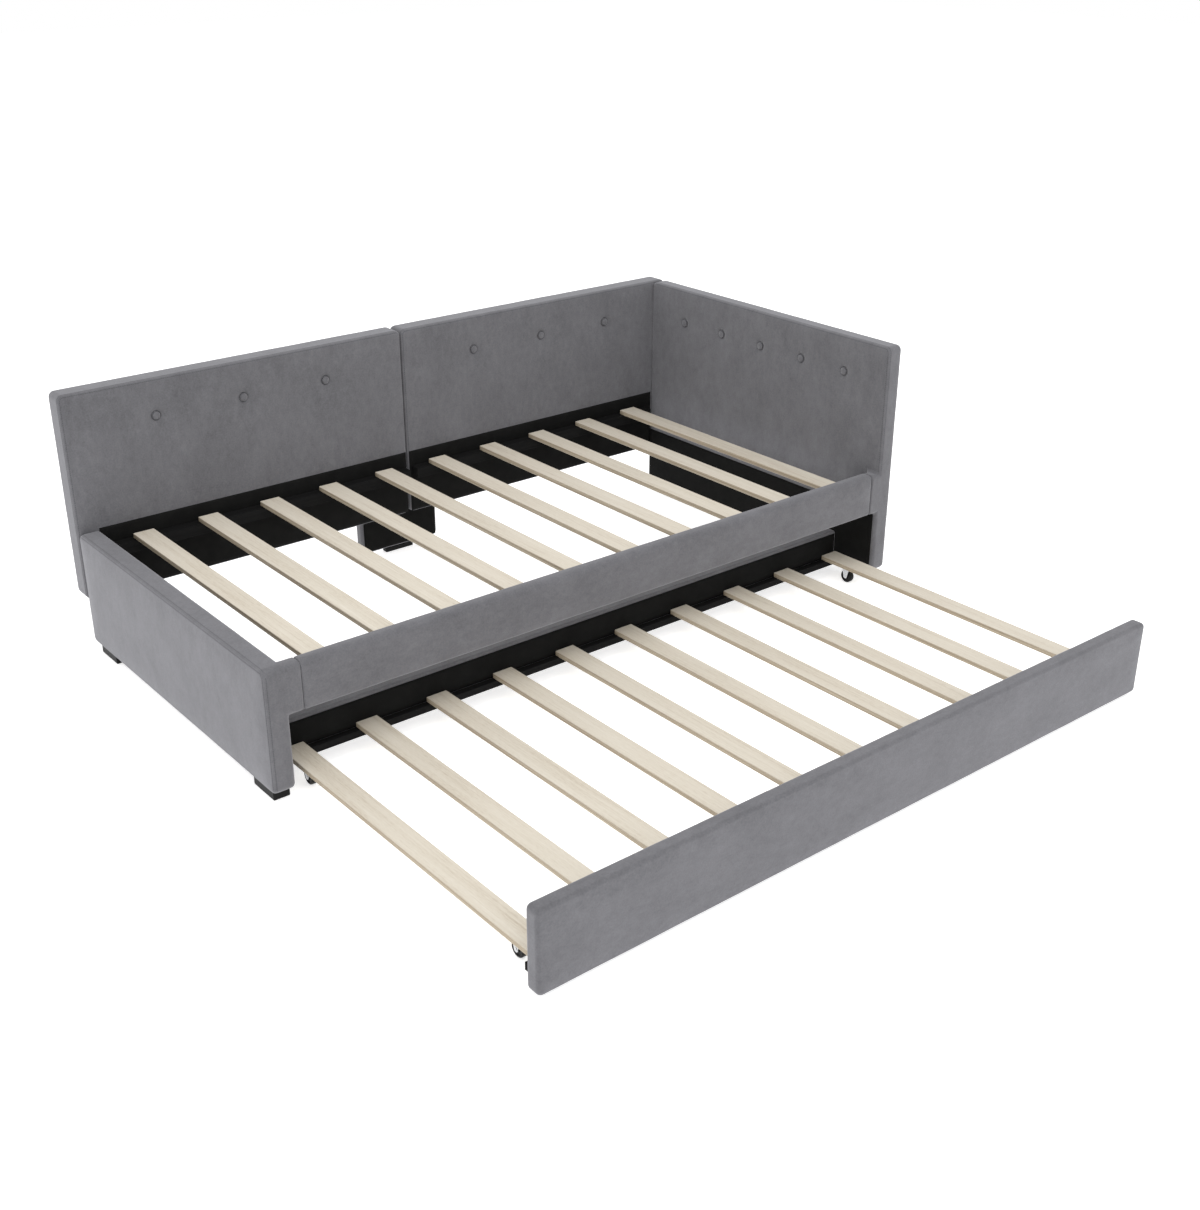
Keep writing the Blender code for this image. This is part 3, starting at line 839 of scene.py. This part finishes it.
def cloth_material():
    made, tree, shader = new_material("black_dust_cloth")
    speckle = add_noise(tree, 900.0, detail=3.0, roughness=0.7)
    cloud = add_noise(tree, 30.0, detail=4.0)
    mixed = add_mix(tree, [(speckle, 0.5), (cloud, 0.5)])
    colour = add_ramp(tree, mixed, [(0.3, CLOTH_DARK), (0.7, CLOTH_LIGHT)])
    tree.links.new(colour, shader.inputs["Base Color"])
    shader.inputs["Roughness"].default_value = 0.9
    shader.inputs["Specular IOR Level"].default_value = 0.14
    add_bump(tree, shader, [(cloud, 0.2, 0.002), (speckle, 0.4, 0.0004)])
    return made


black_cloth = cloth_material()


def add_cloth(name, low, high, axis, outwards, body, node, board=None):
    """A flat sheet between two corner points, thin along an axis, with slight ripples outwards.
    Where it runs on over the rounded edges of the given board, it bends back with them."""
    across = [i for i in range(3) if i != axis]
    wide, tall = (high[across[0]] - low[across[0]], high[across[1]] - low[across[1]])
    steps = [max(2, round(side / CLOTH_SPACING)) for side in (wide, tall)]
    deselect()
    bpy.ops.mesh.primitive_grid_add(x_subdivisions=steps[0], y_subdivisions=steps[1], size=1.0)
    cloth = bpy.context.object
    cloth.name = name
    flat = points_of(cloth)
    points = np.zeros_like(flat)
    points[:, across[0]] = low[across[0]] + (flat[:, 0] + 0.5) * wide
    points[:, across[1]] = low[across[1]] + (flat[:, 1] + 0.5) * tall
    back = high[axis] if outwards < 0 else low[axis]
    ripple = np.array([noise.noise(Vector(p) * RIPPLE_SCALE) for p in points])
    points[:, axis] = back + outwards * (CLOTH_THICKNESS * 0.5 + CLOTH_RIPPLE * (1 + ripple))
    if board:
        past = [
            np.maximum(
                board[0][i] + EDGE_RADIUS - points[:, i], points[:, i] - board[1][i] + EDGE_RADIUS
            )
            for i in across
        ]
        past = np.clip(np.maximum(*past), 0.0, EDGE_RADIUS)
        points[:, axis] -= outwards * (EDGE_RADIUS - np.sqrt(EDGE_RADIUS**2 - past**2))
    set_points(cloth, points)
    shape = bmesh.new()
    shape.from_mesh(cloth.data)
    shape.normal_update()
    shape.faces.ensure_lookup_table()
    if shape.faces[0].normal[axis] * outwards < 0:
        bmesh.ops.reverse_faces(shape, faces=shape.faces)
    shape.to_mesh(cloth.data)
    shape.free()
    thick = cloth.modifiers.new("Thickness", "SOLIDIFY")
    thick.thickness = CLOTH_THICKNESS
    thick.offset = 0.0
    apply_modifiers(cloth)
    finish_smooth(cloth, black_cloth)
    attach(cloth, body)
    if node:
        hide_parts(node)


for panel_side in ("left", "right"):
    node = "dust_cloth_back_" + panel_side
    low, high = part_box(node)
    low.z -= CLOTH_TURN
    if panel_side == "left":
        high.x += CLOTH_TURN
    else:
        low.x -= CLOTH_TURN
    panel = "back_panel_" + panel_side
    add_cloth("stapled_" + node, low, high, 1, -1, "bed_frame", node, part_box(panel))

node = "dust_cloth_headboard"
head_low, head_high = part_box(node)
add_cloth("stapled_" + node, head_low, head_high, 0, -1, "bed_frame", node)
foot_low = Vector((-head_high.x, head_low.y, head_low.z))
foot_high = Vector((-head_low.x, head_high.y, head_high.z))
add_cloth(
    "stapled_dust_cloth_footboard", foot_low, foot_high, 0, 1, "bed_frame", None
)

low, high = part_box("trundle_rear_board")
ledge_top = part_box("trundle_ledge_rear")[1].z
add_cloth(
    "stapled_dust_cloth_trundle_rear",
    Vector((low.x + REAR_CLOTH_INSET, low.y - CLOTH_DEPTH, ledge_top + LEDGE_GAP)),
    Vector((high.x - REAR_CLOTH_INSET, low.y - SEAT_GAP, high.z - REAR_CLOTH_TOP_INSET)),
    1,
    -1,
    "trundle",
    None,
)

low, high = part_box("trundle_front_board")
ledge_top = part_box("trundle_ledge_front")[1].z
front_cloth_low = Vector((low.x + FRONT_CLOTH_INSET, high.y + SEAT_GAP, ledge_top + LEDGE_GAP))
front_cloth_high = Vector(
    (high.x - FRONT_CLOTH_INSET, high.y + CLOTH_DEPTH, high.z - FRONT_CLOTH_TOP_INSET)
)
add_cloth(
    "stapled_dust_cloth_trundle_front",
    front_cloth_low,
    front_cloth_high,
    1,
    1,
    "trundle",
    None,
)

low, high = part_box("centre_leg")
panel_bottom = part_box("back_panel_left")[0].z
add_cloth(
    "stapled_dust_cloth_centre_leg",
    Vector((low.x + LEG_CLOTH_INSET, low.y - CLOTH_DEPTH, low.z + LEG_CLOTH_LOW_INSET)),
    Vector((high.x - LEG_CLOTH_INSET, low.y - SEAT_GAP, panel_bottom - LEG_CLOTH_GAP)),
    1,
    -1,
    "bed_frame",
    None,
)


# ---- Staples
# Steel wire staples hold the cloths down, in a row just inside an edge. They are shot by hand, so
# each sits slightly higher or lower than the next.

STAPLE_DARK = (0.30, 0.30, 0.31, 1.0)
STAPLE_LIGHT = (0.44, 0.44, 0.45, 1.0)
STAPLE_LENGTH = 0.010
STAPLE_WIRE = 0.0008
STAPLE_PITCH = 0.060
STAPLE_INSET = 0.0035  # from the cloth's edge
STAPLE_MARGIN = 0.015  # from the cloth's ends to the middle of the last staple
STAPLE_LIFT = 0.0002
STAPLE_STRAY = 0.0012


def steel_material():
    made, tree, shader = new_material("staple_steel")
    grain = add_noise(tree, 300.0, detail=2.0)
    colour = add_ramp(tree, grain, [(0.3, STAPLE_DARK), (0.7, STAPLE_LIGHT)])
    tree.links.new(colour, shader.inputs["Base Color"])
    shader.inputs["Metallic"].default_value = 1.0
    shader.inputs["Roughness"].default_value = 0.42
    return made


staple_steel = steel_material()


def add_staples(name, low, high, axis, outwards, body, edges):
    """A row of staples just inside each given edge ("top" or "bottom") of an upright cloth."""
    along = 1 - axis
    face = (low[axis] if outwards < 0 else high[axis]) + outwards * STAPLE_LIFT
    run = high[along] - low[along] - 2 * STAPLE_MARGIN
    count = max(2, round(run / STAPLE_PITCH))
    row = []
    for edge in edges:
        level = high.z - STAPLE_INSET if edge == "top" else low.z + STAPLE_INSET
        for i in range(count + 1):
            at = low[along] + STAPLE_MARGIN + run * i / count
            stray = STAPLE_STRAY * noise.noise(Vector((at * 31.0, level * 17.0, face)))
            first, last = [0.0, 0.0, 0.0], [0.0, 0.0, 0.0]
            first[along], last[along] = at - STAPLE_LENGTH / 2, at + STAPLE_LENGTH / 2
            first[axis], last[axis] = sorted((face, face + outwards * STAPLE_WIRE))
            first[2] = level + stray - STAPLE_WIRE / 2
            last[2] = level + stray + STAPLE_WIRE / 2
            row.append(new_block(name, first, last))
    deselect()
    for staple in row:
        staple.select_set(True)
    bpy.context.view_layer.objects.active = row[0]
    bpy.ops.object.join()
    row = bpy.context.object
    row.name = name
    row.data.materials.clear()
    row.data.materials.append(staple_steel)
    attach(row, body)


add_staples("staples_trundle_front", front_cloth_low, front_cloth_high, 1, 1, "trundle", ["top"])
add_staples("staples_footboard", foot_low, foot_high, 0, 1, "bed_frame", ["top", "bottom"])
add_staples("staples_headboard", head_low, head_high, 0, -1, "bed_frame", ["bottom"])


# ---- Slats
# Pale planed poplar battens, laid loose across the ledges. The grain runs along each one. Their
# edges are painted darker than their tops as shade, with the plies showing as lines in it.

POPLAR_DARK = (0.485, 0.418, 0.328, 1.0)
POPLAR_MIDDLE = (0.615, 0.560, 0.468, 1.0)
POPLAR_LIGHT = (0.690, 0.642, 0.556, 1.0)
# Painted shade on the battens' edges, with the ply lines in it.
SHADED_PLY_DARK = (0.270, 0.215, 0.150, 1.0)
SHADED_PLY_LIGHT = (0.450, 0.385, 0.290, 1.0)
FIGURE_SCALE = (34.0, 1.6, 34.0)  # finer across the batten than along it, which is Y
LINE_SCALE = (240.0, 5.0, 420.0)
FLECK_SCALE = (700.0, 60.0, 700.0)
PLY_SCALE = (2.0, 2.0, 520.0)
SLAT_COUNT = 10


def wood_material():
    made, tree, shader = new_material("slat_poplar")
    figure = add_noise(tree, 1.0, stretch=FIGURE_SCALE, detail=4.0, roughness=0.6)
    line = add_noise(tree, 1.0, stretch=LINE_SCALE, detail=3.0, roughness=0.6)
    fleck = add_noise(tree, 1.0, stretch=FLECK_SCALE, detail=2.0)
    mixed = add_mix(tree, [(figure, 0.36), (line, 0.32), (fleck, 0.32)])
    colour = add_ramp(
        tree, mixed, [(0.32, POPLAR_DARK), (0.48, POPLAR_MIDDLE), (0.68, POPLAR_LIGHT)]
    )
    # The edges take darker colours by their facing: painted shade, with the ply lines in it.
    ply = add_noise(tree, 1.0, stretch=PLY_SCALE, detail=1.0)
    edge = add_ramp(tree, ply, [(0.35, SHADED_PLY_DARK), (0.65, SHADED_PLY_LIGHT)])
    flat = add_math(tree, "ABSOLUTE", add_parts(tree, "Normal")[2], 0.0)
    colour = add_blend(tree, flat, edge, colour)
    tree.links.new(colour, shader.inputs["Base Color"])
    shader.inputs["Roughness"].default_value = 0.55
    shader.inputs["Specular IOR Level"].default_value = 0.3
    add_bump(tree, shader, [(line, 0.2, 0.0005), (fleck, 0.15, 0.0003)])
    return made


def repaint(node, material):
    """Gives a CAD node its finish."""
    for material_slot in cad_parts[node].material_slots:
        material_slot.material = material


poplar = wood_material()
for group in ("bed_slat", "trundle_slat"):
    for number in range(1, SLAT_COUNT + 1):
        repaint(f"{group}_{number:02d}", poplar)


# ---- Ledges and feet
# Wooden battens painted black carry the slats and are screwed to the boards. The feet are black
# plastic blocks with chamfered edges, screwed up into the boards.

BLACK_DARK = (0.0025, 0.0025, 0.0025, 1.0)
BLACK_LIGHT = (0.0065, 0.0065, 0.0065, 1.0)


def black_material(name, grain_scale, roughness):
    made, tree, shader = new_material(name)
    grain = add_noise(tree, 1.0, stretch=grain_scale, detail=4.0)
    colour = add_ramp(tree, grain, [(0.3, BLACK_DARK), (0.7, BLACK_LIGHT)])
    tree.links.new(colour, shader.inputs["Base Color"])
    shader.inputs["Roughness"].default_value = roughness
    shader.inputs["Specular IOR Level"].default_value = 0.15
    add_bump(tree, shader, [(grain, 0.3, 0.0004)])
    return made


black_paint = black_material("ledge_black_paint", (3.0, 160.0, 160.0), 0.85)
foot_plastic = black_material("foot_black_plastic", (600.0, 600.0, 600.0), 0.45)
for node in (
    "slat_ledge_back_left",
    "slat_ledge_back_right",
    "slat_ledge_front",
    "trundle_ledge_front",
    "trundle_ledge_rear",
):
    repaint(node, black_paint)
for node in (
    "foot_footboard_front",
    "foot_footboard_rear",
    "foot_headboard_front",
    "foot_headboard_rear",
    "foot_centre_leg",
):
    repaint(node, foot_plastic)


# ---- Casters
# Zinc-plated brackets, pressed from sheet and screwed up into the slats, each with a black nylon
# wheel on an axle riveted through both cheeks.

ZINC_DARK = (0.50, 0.51, 0.53, 1.0)
ZINC_LIGHT = (0.68, 0.69, 0.71, 1.0)


def zinc_material():
    made, tree, shader = new_material("caster_zinc")
    spangle = add_noise(tree, 220.0, detail=3.0)
    colour = add_ramp(tree, spangle, [(0.3, ZINC_DARK), (0.7, ZINC_LIGHT)])
    tree.links.new(colour, shader.inputs["Base Color"])
    shader.inputs["Metallic"].default_value = 1.0
    shader.inputs["Roughness"].default_value = 0.38
    add_bump(tree, shader, [(spangle, 0.1, 0.0003)])
    return made


zinc = zinc_material()
nylon = black_material("wheel_black_nylon", (500.0, 500.0, 500.0), 0.4)
for end in ("front", "rear"):
    for caster_side in ("left", "right"):
        repaint(f"caster_bracket_{end}_{caster_side}", zinc)
        repaint(f"caster_wheel_{end}_{caster_side}", nylon)
